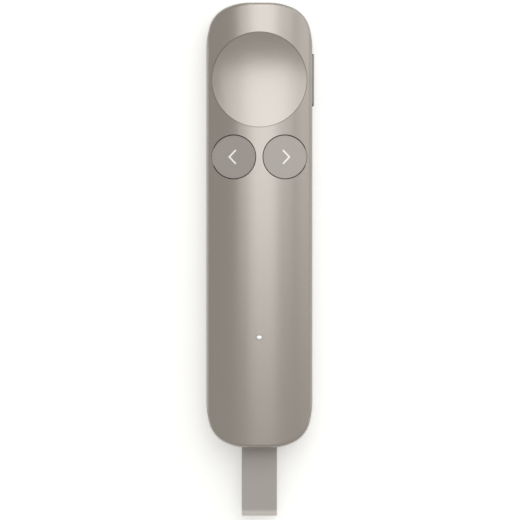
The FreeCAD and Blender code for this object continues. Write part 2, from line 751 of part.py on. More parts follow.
def lips():
    """The front shell's two tongues along its sides, which drop inside the back shell."""
    x = HALF_WIDTH - WALL - LIP_CLEARANCE
    reach = HALF_LENGTH - LIP_END_SHARE * HALF_WIDTH
    top = SPLIT_Z + LIP_ROOT
    tongue = box(x - LIP_THICKNESS, x, -reach, reach, SPLIT_Z - LIP_HEIGHT, top)
    root = box(x - LIP_THICKNESS, HALF_WIDTH - WALL / 2, -reach, reach, SPLIT_Z + SEAM_HEIGHT, top)
    left = mirrored(joined([tongue, root]))
    notch = box(0, HALF_WIDTH, DISH_Y - SIDE_NOTCH, DISH_Y + SIDE_NOTCH, 0, BODY_HEIGHT)
    return [left, joined([tongue, root]).cut(notch)]


def beads(height):
    """The wedge-shaped snap beads half way down the tongues, two on each side."""
    x = HALF_WIDTH - WALL - LIP_CLEARANCE - SEAT
    z = SPLIT_Z - LIP_HEIGHT / 2
    half_spacing = BEAD_SPACING_SHARE * HALF_LENGTH
    found = []
    for end in (-1, 1):
        y = end * half_spacing - BEAD_LENGTH / 2
        corners = [vector(x, y, z - height), vector(x + height, y, z), vector(x, y, z + height)]
        wedge = Part.Face(Part.makePolygon(corners + corners[:1])).extrude(vector(0, BEAD_LENGTH, 0))
        found += [wedge, mirrored(wedge)]
    return found


def half_shell(body, cavity, z0, z1):
    slab = box(-WIDEST, WIDEST, -HALF_LENGTH - OVERRUN, HALF_LENGTH + OVERRUN, z0, z1)
    return body.cut(cavity).common(slab)


def seam_cutter():
    """The fine groove that shows where the shells meet."""
    ring = plan_prism(-OVERRUN, SPLIT_Z, SPLIT_Z + SEAM_HEIGHT)
    return ring.cut(plan_prism(SEAM_DEPTH, SPLIT_Z - OVERRUN, SPLIT_Z + SEAM_HEIGHT + OVERRUN))


def front_shell(body, cavity, core):
    shell = half_shell(body, cavity, SPLIT_Z, BODY_HEIGHT + OVERRUN)
    shell = shell.cut(seam_cutter())
    collars = [upright(0, DISH_Y, DISH_HOLE + COLLAR_THICKNESS, COLLAR_Z, BODY_HEIGHT)]
    for side in (-1, 1):
        collars.append(upright(side * KEY_X, KEY_Y, KEY_HOLE + COLLAR_THICKNESS, COLLAR_Z, BODY_HEIGHT))
    posts = [upright(x, y, POST_RADIUS, BOARD_TOP, BODY_HEIGHT) for x, y in post_places()]
    light_boss = light_seat(LIGHT_FLANGE_REACH, BODY_HEIGHT - WALL - LIGHT_FLANGE_THICKNESS, BODY_HEIGHT)
    inner = joined(collars + posts + [light_boss]).common(core)
    shell = shell.fuse([inner] + lips() + beads(BEAD_HEIGHT))
    holes = [cap_opening(0, DISH_Y, DISH_HOLE, DISH_TRAVEL)]
    holes += [cap_opening(side * KEY_X, KEY_Y, KEY_HOLE, KEY_TRAVEL) for side in (-1, 1)]
    bore = SCREW_RADIUS + SCREW_CLEARANCE
    top = BOARD_TOP + SCREW_BITE + SCREW_TIP_GAP
    holes += [upright(x, y, bore, BOARD_TOP - OVERRUN, top) for x, y in post_places()]
    holes += light_openings()
    return clean(shell.cut(holes + shared_openings()))


def light_seat(grow, z0, z1):
    """The rectangle of the light pipe's flange, grown all round, as a block between two levels."""
    half_x = LIGHT_LENGTH / 2 + LIGHT_FLANGE_REACH + grow
    half_y = LIGHT_WIDTH / 2 + LIGHT_FLANGE_REACH + grow
    return box(-half_x, half_x, LIGHT_Y - half_y, LIGHT_Y + half_y, z0, z1)


def light_openings():
    """The status light's hole through the crown, and the wider seat for its flange under it."""
    length = LIGHT_LENGTH + 2 * FIT
    through = pill_along_z(LIGHT_Y, BOARD_TOP, BODY_HEIGHT + OVERRUN, length, LIGHT_WIDTH + 2 * FIT)
    return [through, light_seat(FIT, BOARD_TOP, BODY_HEIGHT - WALL + FIT)]


def light_pipe(body):
    bottom = BOARD_TOP + LED_HEIGHT + LIGHT_GAP
    flange_top = BODY_HEIGHT - WALL
    stem = pill_along_z(LIGHT_Y, bottom, BODY_HEIGHT + OVERRUN, LIGHT_LENGTH, LIGHT_WIDTH).common(body)
    return joined([stem, light_seat(0, flange_top - LIGHT_FLANGE_THICKNESS, flange_top)])


def back_shell(body, cavity, core):
    shell = half_shell(body, cavity, -OVERRUN, SPLIT_Z)
    half = LASER_RADIUS + SADDLE_WALL
    saddle_end = LASER_FRONT - LASER_LENGTH / 4
    laser_saddle = box(-half, half, saddle_end - SADDLE_LENGTH, saddle_end, 0, LASER_Z - SADDLE_DROP)
    half = MOTOR_RADIUS + SADDLE_WALL
    middle = (MOTOR_START + MOTOR_END) / 2
    motor_saddle = box(middle - SADDLE_LENGTH / 2, middle + SADDLE_LENGTH / 2, MOTOR_Y - half, MOTOR_Y + half,
                       0, MOTOR_Z - SADDLE_DROP)
    saddles = joined([laser_saddle, motor_saddle] + frame_rests())
    shell = shell.fuse(saddles.common(core))
    cuts = [rod_along_y(0, LASER_Z, LASER_RADIUS + FIT, LASER_BACK - OVERRUN, LASER_FRONT + OVERRUN),
            rod_along_x(MOTOR_Y, MOTOR_Z, MOTOR_RADIUS + FIT, MOTOR_START - OVERRUN, MOTOR_END + OVERRUN)]
    return clean(shell.cut(cuts + beads(BEAD_HEIGHT + BEAD_CLEARANCE) + shared_openings()))


def frame_rests():
    """Two ribs in the back shell that hold the frame up behind the small keys."""
    x = POST_ACROSS_SHARE * HALF_WIDTH
    y = KEY_Y - REST_FROM_KEYS
    found = []
    for across in (-x, x):
        found.append(box(across - WALL / 2, across + WALL / 2, y - REST_LENGTH / 2, y + REST_LENGTH / 2,
                         0, FRAME_BOTTOM))
    return found


def board_outline(z0, z1):
    """The outline that the board and the frame share, with room for laser, side button and port."""
    plate = plan_prism(BOARD_INSET, z0, z1)
    notches = [
        box(-HALF_WIDTH, HALF_WIDTH, -HALF_LENGTH, BOARD_TAIL, 0, BODY_HEIGHT),
        box(-LASER_NOTCH, LASER_NOTCH, LASER_BACK - DRIVER_THICKNESS - LOOSE, HALF_LENGTH, 0, BODY_HEIGHT),
        box(SIDE_SWITCH_X, HALF_WIDTH, DISH_Y - SIDE_NOTCH, DISH_Y + SIDE_NOTCH, 0, BODY_HEIGHT),
    ]
    return plate.cut(notches)


def screw_holes(radius):
    return [upright(x, y, radius, FRAME_BOTTOM - OVERRUN, BOARD_TOP + OVERRUN) for x, y in post_places()]


def main_board():
    board = board_outline(BOARD_BOTTOM, BOARD_TOP)
    return clean(board.cut(screw_holes(SCREW_RADIUS + LOOSE)))


def frame_windows():
    """The frame's openings between its rails: round the port and battery plug, and over the middle."""
    side = HALF_WIDTH - BOARD_INSET - FRAME_RAIL
    port_side = PORT_WIDTH / 2 + LOOSE
    nose, tail = [y for x, y in post_places()][::2]
    rest = KEY_Y - REST_FROM_KEYS
    clear = POST_RADIUS + FRAME_RAIL
    low, high = FRAME_BOTTOM - OVERRUN, BOARD_BOTTOM + OVERRUN
    return [
        box(-port_side, port_side, -HALF_LENGTH, PLUG_Y + PLUG_LENGTH, low, high),
        box(-side, side, tail + clear, rest - clear, low, high),
        box(-side, side, rest + clear, DISH_Y - SIDE_NOTCH, low, high),
        box(-side, side - FRAME_RAIL, DISH_Y - SIDE_NOTCH + FRAME_RAIL, nose - clear, low, high),
    ]


def inner_frame():
    """The chassis under the board, with an upright tab behind the side switch."""
    frame = board_outline(FRAME_BOTTOM, BOARD_BOTTOM).cut(frame_windows())
    half = SWITCH_SIDE / 2
    tab = box(SIDE_SWITCH_X - FRAME_THICKNESS, SIDE_SWITCH_X, DISH_Y - half, DISH_Y + half,
              SIDE_Z - SIDE_SWITCH_DEPTH / 2, BOARD_BOTTOM)
    side = HALF_WIDTH - BOARD_INSET
    half = FRAME_RAIL / 2
    inset = TAPE_MARGIN + FRAME_RAIL
    ledges = []
    for y in (BATTERY_NOSE_END - inset, BATTERY_TAIL_END + inset):
        ledges.append(box(-side, side, y - half, y + half, FRAME_BOTTOM, BOARD_BOTTOM))
    return clean(joined([frame, tab] + ledges).cut(screw_holes(SCREW_RADIUS + LOOSE)))


def frame_screws():
    """Four self-tapping screws with crossed slots, up through the frame and the board."""
    bottom = FRAME_BOTTOM - SCREW_HEAD_HEIGHT
    length = SCREW_CROSS_LENGTH / 2
    half = SCREW_CROSS_WIDTH / 2
    floor = bottom + SCREW_CROSS_DEPTH
    screws = []
    for x, y in post_places():
        head = upright(x, y, SCREW_HEAD_RADIUS, bottom, FRAME_BOTTOM)
        shank = upright(x, y, SCREW_RADIUS, bottom, BOARD_TOP + SCREW_BITE)
        slots = [
            box(x - length, x + length, y - half, y + half, bottom - OVERRUN, floor),
            box(x - half, x + half, y - length, y + length, bottom - OVERRUN, floor),
        ]
        screws.append(clean(head.fuse(shank).cut(slots)))
    return Part.makeCompound(screws)


def side_cap():
    bar = pill_along_x(SIDE_FACE, HALF_WIDTH + SIDE_PROUD, DISH_Y, SIDE_Z, SIDE_LENGTH, SIDE_HEIGHT)
    outer = [e for e in bar.Edges if e.BoundBox.XMin > HALF_WIDTH]
    return bar.makeChamfer(SIDE_EDGE, outer)


def side_carrier():
    flange = pill_along_x(SIDE_CARRIER_FACE, SIDE_FACE, DISH_Y, SIDE_Z,
                          SIDE_LENGTH + 2 * SIDE_FLANGE_REACH, SIDE_HEIGHT + 2 * SIDE_FLANGE_REACH)
    half = nub_half(SIDE_DOME_RADIUS)
    nub = box(SIDE_NUB_X, SIDE_FACE, DISH_Y - half, DISH_Y + half, SIDE_Z - half, SIDE_Z + half)
    return joined([flange, nub])


def battery_cell():
    half = BATTERY_HALF_WIDTH
    block = box(-half, half, BATTERY_TAIL_END, BATTERY_NOSE_END, BATTERY_BOTTOM, BATTERY_TOP)
    return block.makeFillet(BATTERY_EDGE, edges_along(block, vector(0, 1, 0)))


def battery_tape():
    half = BATTERY_HALF_WIDTH - TAPE_MARGIN
    start = BATTERY_TAIL_END + TAPE_MARGIN
    return box(-half, half, start, BATTERY_NOSE_END - TAPE_MARGIN, BATTERY_TOP, FRAME_BOTTOM)


def battery_foam():
    half = BACK_LAND - FOAM_FROM_LAND
    start = BATTERY_TAIL_END + FOAM_FROM_ENDS
    return box(-half, half, start, BATTERY_NOSE_END - FOAM_FROM_ENDS, WALL, BATTERY_BOTTOM)


def battery_plug():
    half_x, half_y = PLUG_WIDTH / 2, PLUG_LENGTH / 2
    low = BOARD_BOTTOM - PLUG_HEIGHT
    return box(-half_x, half_x, PLUG_Y - half_y, PLUG_Y + half_y, low, BOARD_BOTTOM)


def battery_leads():
    z = BATTERY_TOP - 2 * LEAD_RADIUS
    start = PLUG_Y + PLUG_LENGTH / 2
    leads = []
    for x in (-LEAD_SPACING / 2, LEAD_SPACING / 2):
        leads.append(rod_along_y(x, z, LEAD_RADIUS, start, BATTERY_TAIL_END))
    return Part.makeCompound(leads)


def radio_shield():
    half = SHIELD_WIDTH / 2
    can = box(-half, half, SHIELD_TAIL_END, SHIELD_NOSE_END, BOARD_TOP, BOARD_TOP + SHIELD_HEIGHT)
    half -= SHIELD_SHEET
    start, end = SHIELD_TAIL_END + SHIELD_SHEET, SHIELD_NOSE_END - SHIELD_SHEET
    top = BOARD_TOP + SHIELD_HEIGHT - SHIELD_SHEET
    return can.cut(box(-half, half, start, end, BOARD_TOP - OVERRUN, top))


def chip(x, y, side, height):
    return box(x - side / 2, x + side / 2, y - side / 2, y + side / 2, BOARD_TOP, BOARD_TOP + height)


def board_chips():
    """The radio chip under its can, and two smaller chips between can and status light."""
    chips = [chip(0, (SHIELD_NOSE_END + SHIELD_TAIL_END) / 2, CHIP_SIDE, CHIP_HEIGHT)]
    y = SHIELD_TAIL_END - SMALL_CHIP_SIDE
    chips += [chip(side * CHIP_SPACING / 2, y, SMALL_CHIP_SIDE, SMALL_CHIP_HEIGHT) for side in (-1, 1)]
    return Part.makeCompound(chips)


def chip_antenna():
    y = BOARD_TAIL + ANTENNA_FROM_EDGE
    half_x, half_y = ANTENNA_LENGTH / 2, ANTENNA_WIDTH / 2
    return box(-half_x, half_x, y - half_y, y + half_y, BOARD_TOP, BOARD_TOP + ANTENNA_HEIGHT)


def status_led():
    half_x, half_y = LED_LENGTH / 2, LED_WIDTH / 2
    return box(-half_x, half_x, LIGHT_Y - half_y, LIGHT_Y + half_y, BOARD_TOP, BOARD_TOP + LED_HEIGHT)


def laser_barrel():
    barrel = rod_along_y(0, LASER_Z, LASER_RADIUS, LASER_BACK, LASER_FRONT)
    start, end = LASER_FRONT - LENS_SEAT_DEPTH, LASER_FRONT + OVERRUN
    return barrel.cut(rod_along_y(0, LASER_Z, LENS_RADIUS, start, end))


def laser_lens():
    start = LASER_FRONT - LENS_SEAT_DEPTH
    return rod_along_y(0, LASER_Z, LENS_RADIUS - SEAT, start, start + LENS_THICKNESS)


def laser_driver():
    half = LASER_RADIUS
    return box(-half, half, LASER_BACK - DRIVER_THICKNESS, LASER_BACK, LASER_Z - DRIVER_HEIGHT / 2,
               LASER_Z + DRIVER_HEIGHT / 2)


def nose_window():
    pane = rod_along_y(0, LASER_Z, WINDOW_RADIUS, WINDOW_BACK, HALF_LENGTH - WINDOW_RECESS)
    flange = rod_along_y(0, LASER_Z, WINDOW_RADIUS + WINDOW_FLANGE_REACH, WINDOW_BACK,
                         WINDOW_BACK + WINDOW_FLANGE_THICKNESS)
    return joined([pane, flange])


def motor_case():
    case = rod_along_x(MOTOR_Y, MOTOR_Z, MOTOR_RADIUS, MOTOR_START, MOTOR_END)
    return case.cut(rod_along_x(MOTOR_Y, MOTOR_Z, MOTOR_SHAFT_RADIUS + MOTOR_SHAFT_GAP,
                                MOTOR_END - MOTOR_SHAFT_SEAT - LOOSE, MOTOR_END + OVERRUN))


def motor_shaft():
    start = MOTOR_END - MOTOR_SHAFT_SEAT
    return rod_along_x(MOTOR_Y, MOTOR_Z, MOTOR_SHAFT_RADIUS, start, MOTOR_END + MOTOR_SHAFT_OUT)


def motor_weight():
    """A half-round weight pressed on the shaft, so its mass lies to one side."""
    x0 = MOTOR_END + WEIGHT_GAP
    x1 = x0 + WEIGHT_LENGTH
    half_disc = rod_along_x(MOTOR_Y, MOTOR_Z, WEIGHT_RADIUS, x0, x1)
    half_disc = half_disc.common(box(x0, x1, MOTOR_Y - WEIGHT_RADIUS, MOTOR_Y + WEIGHT_RADIUS,
                                     MOTOR_Z - WEIGHT_RADIUS, MOTOR_Z))
    hub = rod_along_x(MOTOR_Y, MOTOR_Z, WEIGHT_HUB_RADIUS, x0, x1)
    bore = rod_along_x(MOTOR_Y, MOTOR_Z, MOTOR_SHAFT_RADIUS + SEAT, x0 - OVERRUN, x1 + OVERRUN)
    return clean(half_disc.fuse(hub).cut(bore))


def usb_port_shell():
    outer = pill_along_y(PORT_MOUTH, PORT_END, PORT_Z, PORT_WIDTH, PORT_HEIGHT)
    inner = pill_along_y(PORT_MOUTH - OVERRUN, PORT_END - PORT_BACK, PORT_Z, PORT_WIDTH - 2 * PORT_SHEET,
                         PORT_HEIGHT - 2 * PORT_SHEET)
    return clean(outer.cut(inner))


def usb_port_tongue():
    start = PORT_END - PORT_BACK - TONGUE_LENGTH
    half_x, half_z = TONGUE_WIDTH / 2, TONGUE_HEIGHT / 2
    return box(-half_x, half_x, start, PORT_END - PORT_BACK, PORT_Z - half_z, PORT_Z + half_z)


def dock_sleeve():
    """The lining of the receiver's bay, its mouth following the tail's round end."""
    tube = dock_bar(DOCK_GAP + DOCK_WALL, -HALF_LENGTH, RECEIVER_FRONT + DOCK_GAP)
    tube = tube.cut(dock_bar(DOCK_GAP, -HALF_LENGTH - OVERRUN, RECEIVER_FRONT + OVERRUN))
    return clean(tube.common(plan_prism(DOCK_RECESS, 0, BODY_HEIGHT)))


def flat_bar(y0, y1, inset):
    """A bar along Y with the receiver's section drawn in by inset, its corners sharp."""
    half_x = RECEIVER_WIDTH / 2 - inset
    half_z = RECEIVER_HEIGHT / 2 - inset
    return box(-half_x, half_x, y0, y1, PORT_Z - half_z, PORT_Z + half_z)


def plug_front():
    return RECEIVER_FRONT + PLUG_SHELL_LENGTH


def receiver_case():
    case = dock_bar(0, TAIL_CAP_FRONT, RECEIVER_FRONT)
    room = flat_bar(TAIL_CAP_FRONT - OVERRUN, RECEIVER_FRONT - RECEIVER_WALL, RECEIVER_WALL)
    hole = pill_along_y(RECEIVER_FRONT - OVERRUN, RECEIVER_FRONT + OVERRUN, PORT_Z,
                        PLUG_SHELL_WIDTH + 2 * SEAT, PLUG_SHELL_HEIGHT + 2 * SEAT)
    return clean(case.cut([room, hole]))


def receiver_plug_shell():
    start = RECEIVER_FRONT - PLUG_ROOT
    outer = pill_along_y(start, plug_front(), PORT_Z, PLUG_SHELL_WIDTH, PLUG_SHELL_HEIGHT)
    inner = pill_along_y(start - OVERRUN, plug_front() + OVERRUN, PORT_Z,
                         PLUG_SHELL_WIDTH - 2 * PLUG_SHELL_SHEET, PLUG_SHELL_HEIGHT - 2 * PLUG_SHELL_SHEET)
    return clean(outer.cut(inner))


def receiver_insert():
    """The plastic block inside the plug's metal shell, with the slot that the port's tongue enters."""
    width = PLUG_SHELL_WIDTH - 2 * PLUG_SHELL_SHEET - 2 * SEAT
    height = PLUG_SHELL_HEIGHT - 2 * PLUG_SHELL_SHEET - 2 * SEAT
    block = pill_along_y(RECEIVER_FRONT - PLUG_ROOT, plug_front() - FIT, PORT_Z, width, height)
    half_x = width / 2 - INSERT_WALL
    half_z = height / 2 - INSERT_WALL
    start, end = RECEIVER_FRONT + INSERT_BACK, plug_front() + OVERRUN
    return clean(block.cut(box(-half_x, half_x, start, end, PORT_Z - half_z, PORT_Z + half_z)))


def receiver_board():
    half_x, half_z = RECEIVER_BOARD_WIDTH / 2, RECEIVER_BOARD_THICKNESS / 2
    start, end = TAIL_CAP_FRONT + TAIL_SPIGOT, RECEIVER_FRONT - PLUG_ROOT
    return box(-half_x, half_x, start, end, PORT_Z - half_z, PORT_Z + half_z)


def strap_slot():
    """The slot in the tail cap that the folded strap comes out of."""
    grow = STRAP_GAP + STRAP_EYE
    half_x = STRAP_WIDTH / 2 + STRAP_SLOT_SIDE
    end = -HALF_LENGTH - TAIL_LIP_PROUD - OVERRUN
    slot = box(-half_x, half_x, end, PIN_Y, PORT_Z - grow, PORT_Z + grow)
    return slot.fuse(rod_along_x(PIN_Y, PORT_Z, grow, -half_x, half_x))


def receiver_tail_cap():
    """The receiver's end: it follows the tail's outline, with a small brow over the strap's slot."""
    block = dock_bar(0, -HALF_LENGTH - OVERRUN, TAIL_CAP_FRONT).common(plan_prism(0, 0, BODY_HEIGHT))
    front = TAIL_CAP_FRONT + TAIL_SPIGOT
    spigot = flat_bar(TAIL_CAP_FRONT, front, RECEIVER_WALL + SEAT)
    half = TAIL_LIP_WIDTH / 2
    low = PORT_Z + STRAP_GAP + STRAP_EYE
    brow = box(-half, half, -HALF_LENGTH - TAIL_LIP_PROUD, PIN_Y, low, low + TAIL_LIP_THICKNESS)
    hollow = flat_bar(TAIL_CAP_FRONT - OVERRUN, front + OVERRUN, RECEIVER_WALL + SEAT + TAIL_SPIGOT_WALL)
    cap = joined([block, spigot, brow])
    return clean(cap.cut([hollow, strap_slot(), strap_pin(SEAT)]))


def strap_pin(grow):
    half = STRAP_WIDTH / 2 + STRAP_SLOT_SIDE + PIN_SEAT + grow
    return rod_along_x(PIN_Y, PORT_Z, PIN_RADIUS + grow, -half, half)


def taper_loop(eye_radius, tip_radius, tip_y):
    """A face in the YZ plane, drawn tight round two circles, one at the pin and one at the tip."""
    reach = PIN_Y - tip_y
    lean = math.asin((tip_radius - eye_radius) / reach)

    def point(y, radius, angle):
        return vector(0, y + radius * math.sin(angle), PORT_Z + radius * math.cos(angle))
    half = math.pi / 2
    edges = []
    eye = [point(PIN_Y, eye_radius, a) for a in (lean, half, math.pi - lean)]
    tip = [point(tip_y, tip_radius, a) for a in (lean, -half, -math.pi - lean)]
    edges.append(Part.Arc(*eye).toShape())
    edges.append(Part.Arc(*tip).toShape())
    edges.append(Part.makeLine(eye[0], tip[0]))
    edges.append(Part.makeLine(eye[2], tip[2]))
    return Part.Face(Part.Wire(Part.__sortEdges__(edges)))


def strap_loop():
    """The folded band: one closed loop of even thickness, round the pin and out to its tip."""
    tip_y = -HALF_LENGTH - STRAP_LENGTH + STRAP_TIP_RADIUS
    outer = taper_loop(STRAP_EYE, STRAP_TIP_RADIUS, tip_y)
    inner = taper_loop(STRAP_EYE - STRAP_THICKNESS, STRAP_TIP_RADIUS - STRAP_THICKNESS, tip_y)
    band = outer.cut(inner)
    band.translate(vector(-STRAP_WIDTH / 2, 0, 0))
    return clean(band.extrude(vector(STRAP_WIDTH, 0, 0)))


def all_nodes():
    body = body_form()
    cavity = inner_form(WALL)
    core = inner_form(WALL / 2)
    key_cap, key_mark = key_cap_and_mark()
    dish_carrier = carrier_solid(0, DISH_Y, DISH_RADIUS, DISH_WALL, dish_ceiling, DISH_LUG_WIDTH)
    key_carrier = carrier_solid(KEY_X, KEY_Y, KEY_RADIUS, KEY_WALL, key_ceiling, KEY_LUG_WIDTH)
    dome = dome_sheet(DOME_RADIUS)
    nodes = {
        "front_shell": front_shell(body, cavity, core),
        "back_shell": back_shell(body, cavity, core),
        "inner_frame": inner_frame(),
        "main_board": main_board(),
        "frame_screws": frame_screws(),
        "pointer_cap": cap_solid(dish_block(), 0, DISH_Y, DISH_RADIUS, DISH_WALL, dish_ceiling),
        "pointer_carrier": dish_carrier,
        "next_cap": key_cap,
        "next_chevron": key_mark,
        "next_carrier": key_carrier,
        "previous_cap": mirrored(key_cap),
        "previous_chevron": mirrored(key_mark),
        "previous_carrier": mirrored(key_carrier),
        "side_cap": side_cap(),
        "side_carrier": side_carrier(),
        "side_switch_base": side_switch_base(),
        "side_dome": facing_x(dome_sheet(SIDE_DOME_RADIUS), SIDE_SWITCH_X, DISH_Y, SIDE_Z),
        "battery_cell": battery_cell(),
        "battery_tape": battery_tape(),
        "battery_foam": battery_foam(),
        "battery_plug": battery_plug(),
        "battery_leads": battery_leads(),
        "radio_shield": radio_shield(),
        "chip_antenna": chip_antenna(),
        "board_chips": board_chips(),
        "status_led": status_led(),
        "light_pipe": light_pipe(body),
        "laser_barrel": laser_barrel(),
        "laser_lens": laser_lens(),
        "laser_driver": laser_driver(),
        "nose_window": nose_window(),
        "motor_case": motor_case(),
        "motor_shaft": motor_shaft(),
        "motor_weight": motor_weight(),
        "usb_port_shell": usb_port_shell(),
        "usb_port_tongue": usb_port_tongue(),
        "dock_sleeve": dock_sleeve(),
        "receiver_case": receiver_case(),
        "receiver_tail_cap": receiver_tail_cap(),
        "receiver_plug_shell": receiver_plug_shell(),
        "receiver_insert": receiver_insert(),
        "receiver_board": receiver_board(),
        "strap_pin": strap_pin(0),
        "strap_loop": strap_loop(),
    }
    for name, x, y in (("pointer", 0, DISH_Y), ("next", KEY_X, KEY_Y), ("previous", -KEY_X, KEY_Y)):
        nodes[name + "_switch_base"] = moved(switch_base(), x, y, BOARD_TOP)
        nodes[name + "_dome"] = moved(dome, x, y, BOARD_TOP)
    return nodes


def main():
    os.makedirs("parts", exist_ok=True)
    for name, shape in all_nodes().items():
        shape.exportStep("parts/" + name + ".step")


main()
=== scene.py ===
import json
import math

import bmesh
import bpy
from mathutils import Matrix, Vector


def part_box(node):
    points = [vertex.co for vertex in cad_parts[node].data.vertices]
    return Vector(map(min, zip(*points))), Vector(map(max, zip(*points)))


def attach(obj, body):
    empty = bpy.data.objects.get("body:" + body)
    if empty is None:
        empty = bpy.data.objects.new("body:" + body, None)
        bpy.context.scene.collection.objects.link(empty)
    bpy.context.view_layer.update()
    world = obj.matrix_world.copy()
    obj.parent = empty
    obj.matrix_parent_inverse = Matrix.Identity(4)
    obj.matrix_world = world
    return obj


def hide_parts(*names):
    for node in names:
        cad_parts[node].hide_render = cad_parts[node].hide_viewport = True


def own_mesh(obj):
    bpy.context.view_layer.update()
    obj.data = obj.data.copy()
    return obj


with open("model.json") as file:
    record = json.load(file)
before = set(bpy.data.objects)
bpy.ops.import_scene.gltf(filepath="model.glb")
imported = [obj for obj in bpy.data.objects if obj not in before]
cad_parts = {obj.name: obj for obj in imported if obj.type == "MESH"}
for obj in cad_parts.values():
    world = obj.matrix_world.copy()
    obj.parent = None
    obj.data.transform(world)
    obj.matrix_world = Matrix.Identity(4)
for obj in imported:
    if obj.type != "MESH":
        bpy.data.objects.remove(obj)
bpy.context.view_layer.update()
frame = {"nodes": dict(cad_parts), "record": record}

# Where the photograph puts the clicker, in pixels of its 520 by 520 frame
PHOTO_SIDE = 520.0
PHOTO_BODY_X = 259.37
PHOTO_BODY_Y = 225.24
METRES_PER_PIXEL = 0.00029512

# Camera, in metres: how far it stands above the height that fills the photograph's frame at that scale
CAMERA_DISTANCE = 1.6
FOCUS_HEIGHT = 0.012
SENSOR_WIDTH = 0.036
NEAREST_SEEN = 0.01
FARTHEST_SEEN = 50
MILLIMETRES = 1000

# Strap loop, in metres: the band is folded round the pin and again at its tip
BAND_WIDTH = 0.0104
BAND_THICKNESS = 0.0011
BAND_EDGE = 0.00018
BAND_EDGE_STEPS = 3
BAND_CORNER_ANGLE = 1.0
BAND_MERGE = 0.000001
BAND_EYE_RADIUS = 0.00125
BAND_TIP_RADIUS = 0.00135
BAND_TURN_STEPS = 16
BAND_RUN_STEPS = 12

# Painted highlight on the strap's fold at its free tip: how far from the tip it starts and is full, and its
# paler tone
FOLD_HIGHLIGHT_START = 0.0022
FOLD_HIGHLIGHT_FULL = 0.0008
FOLD_HIGHLIGHT_TONE = (0.70, 0.665, 0.64)

# Foam pad under the battery: its rounded edge
PAD_EDGE = 0.00025
PAD_EDGE_STEPS = 4

# Snap domes: the sheet's thickness, the steps round the arch, and for each dome its joint, whether it
# faces +X instead of +Z, and the share of its height that a full press leaves
DOME_SHEET = 0.0001
DOME_STEPS = 12
SNAP_DOMES = [
    ("pointer_dome", "pointer_press", False, 0.1),
    ("next_dome", "next_press", False, 0.28),
    ("previous_dome", "previous_press", False, 0.28),
    ("side_dome", "side_press", True, 0.28),
]

# Status light: how far its glow reaches from its middle, in x, y and z, and the share of that at full glow
GLOW_REACH = (0.00115, 0.00075, 0.01)
GLOW_CORE = 0.25
GLOW_STRENGTH = 0.9

# Grain and soft tones: the noises' detail, and the values of a material that gives none of its own
GRAIN_DETAIL = 3.0
GRAIN_ROUGHNESS = 0.6
GRAIN_SCALE = 9000.0
GRAIN_HEIGHT = 0.000002
GLOSS_CHANGE = 0.05
NOISE_MIDDLE = 0.5
TONE_DETAIL = 4.0
TONE_SCALE = 60.0
BODY_TONES = ((0.428, 0.394, 0.367), (0.418, 0.385, 0.358))

# Studio: floor, even light, and lamps that face down, as name, radiance, size in x and y, and place
FLOOR_HALF_SIDE = 4.0
FLOOR_HEIGHT = -0.00005
FLOOR_TONE = (0.9, 0.9, 0.9)
FLOOR_ROUGHNESS = 0.9
FLOOR_GLOW = 0.33
WORLD_STRENGTH = 0.582
WORLD_COLOUR = (1.0, 0.99, 0.93)
LAMP_COLOUR = (0.97, 0.987, 1.0)
LAMPS = [
    ("wide_box", 0.762, 0.753, 1.031, (0.108, 0.512, 0.636)),
    ("long_strip", 0.643, 0.3125, 1.0785, (0.051, 0.488, 0.616)),
    ("right_box", 0.68, 2.92, 1.515, (2.04, 0.7425, 0.656)),
]


def node_group(name, inputs, outputs):
    """A new shader node group with its input and output nodes."""
    group = bpy.data.node_groups.new(name, "ShaderNodeTree")
    for label, kind in inputs:
        group.interface.new_socket(label, in_out="INPUT", socket_type=kind)
    for label, kind in outputs:
        group.interface.new_socket(label, in_out="OUTPUT", socket_type=kind)
    return group, group.nodes.new("NodeGroupInput"), group.nodes.new("NodeGroupOutput")


def blasted_grain_group():
    """The fine grain of bead-blasted metal or of a matt moulding: a height and a small change of gloss."""
    inputs = [("Scale", "NodeSocketFloat"), ("Gloss", "NodeSocketFloat"), ("Gloss Change", "NodeSocketFloat")]
    outputs = [("Height", "NodeSocketFloat"), ("Roughness", "NodeSocketFloat")]
    group, source, result = node_group("blasted_grain", inputs, outputs)
    nodes, links = group.nodes, group.links
    where = nodes.new("ShaderNodeTexCoord")
    fine = nodes.new("ShaderNodeTexNoise")
    fine.inputs["Detail"].default_value = GRAIN_DETAIL
    fine.inputs["Roughness"].default_value = GRAIN_ROUGHNESS
    links.new(where.outputs["Object"], fine.inputs["Vector"])
    links.new(source.outputs["Scale"], fine.inputs["Scale"])
    links.new(fine.outputs["Fac"], result.inputs["Height"])
    centred = nodes.new("ShaderNodeMath")
    centred.operation = "SUBTRACT"
    centred.inputs[1].default_value = NOISE_MIDDLE
    links.new(fine.outputs["Fac"], centred.inputs[0])
    swing = nodes.new("ShaderNodeMath")
    swing.operation = "MULTIPLY_ADD"
    links.new(centred.outputs[0], swing.inputs[0])
    links.new(source.outputs["Gloss Change"], swing.inputs[1])
    links.new(source.outputs["Gloss"], swing.inputs[2])
    links.new(swing.outputs[0], result.inputs["Roughness"])
    return group


